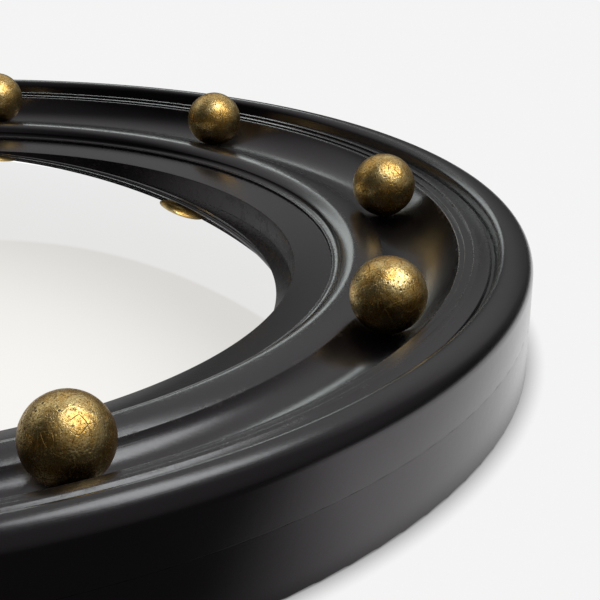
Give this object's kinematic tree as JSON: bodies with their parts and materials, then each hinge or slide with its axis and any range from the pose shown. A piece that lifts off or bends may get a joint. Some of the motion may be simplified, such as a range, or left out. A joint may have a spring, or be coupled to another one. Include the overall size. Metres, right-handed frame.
{
  "type": "convex butlers mirror",
  "caption": "Round convex wall mirror in a deep moulded black lacquer frame, with gilded balls seated in its cove and a recessed back with ring hangers.",
  "frame": {"origin": "on the axis of the frame, in the plane of its rear face", "axes": "+Z out of the back towards the viewer, the way the glass faces; +Y up when the mirror hangs on a wall; +X to the right seen from the front"},
  "size_m": [0.4797, 0.4798, 0.0524],
  "materials": {
    "black_lacquer": "turned hardwood in satin-gloss black lacquer",
    "gold_leaf": "turned wood, worn antique gold leaf over dark bole",
    "silvered_glass": "silvered convex glass",
    "felt": "grey wool felt",
    "hardboard": "brown hardboard",
    "zinc_steel": "zinc-plated steel",
    "nickel_steel": "nickel-plated steel",
    "brass": "stamped brass"
  },
  "bodies": {
    "frame": {"rear_ring": "black_lacquer", "front_moulding": "black_lacquer", "sight_slip": "black_lacquer", "convex_glass": "silvered_glass", "packing_ring": "felt", "back_board": "hardboard", "gilt_ball_01": "gold_leaf", "gilt_ball_02": "gold_leaf", "gilt_ball_03": "gold_leaf", "gilt_ball_04": "gold_leaf", "gilt_ball_05": "gold_leaf", "gilt_ball_06": "gold_leaf", "gilt_ball_07": "gold_leaf", "gilt_ball_08": "gold_leaf", "gilt_ball_09": "gold_leaf", "gilt_ball_10": "gold_leaf", "ball_screws": "zinc_steel", "frame_screws": "zinc_steel", "button_screws": "brass", "hanger_strap_right": "nickel_steel", "hanger_strap_left": "nickel_steel", "hanger_screws": "nickel_steel"},
    "turn_button_1": {"turn_button_1": "brass"},
    "turn_button_2": {"turn_button_2": "brass"},
    "turn_button_3": {"turn_button_3": "brass"},
    "turn_button_4": {"turn_button_4": "brass"},
    "hanger_ring_right": {"hanger_ring_right": "nickel_steel"},
    "hanger_ring_left": {"hanger_ring_left": "nickel_steel"}
  },
  "joints": [
    {"name": "turn_button_1_turn", "type": "hinge", "parent": "frame", "child": "turn_button_1", "pos_m": [0.12445, 0.12445, 0.0033], "axis": [0, 0, 1], "continuous": true},
    {"name": "turn_button_2_turn", "type": "hinge", "parent": "frame", "child": "turn_button_2", "pos_m": [-0.12445, 0.12445, 0.0033], "axis": [0, 0, 1], "continuous": true},
    {"name": "turn_button_3_turn", "type": "hinge", "parent": "frame", "child": "turn_button_3", "pos_m": [-0.12445, -0.12445, 0.0033], "axis": [0, 0, 1], "continuous": true},
    {"name": "turn_button_4_turn", "type": "hinge", "parent": "frame", "child": "turn_button_4", "pos_m": [0.12445, -0.12445, 0.0033], "axis": [0, 0, 1], "continuous": true},
    {"name": "hanger_ring_right_swing", "type": "hinge", "parent": "frame", "child": "hanger_ring_right", "pos_m": [0.17631, 0.05294, 0.00212], "axis": [-0.9659, -0.2588, 0], "range_deg": [0, 175]},
    {"name": "hanger_ring_left_swing", "type": "hinge", "parent": "frame", "child": "hanger_ring_left", "pos_m": [-0.17631, 0.05294, 0.00212], "axis": [-0.9659, 0.2588, 0], "range_deg": [0, 175]}
  ]
}
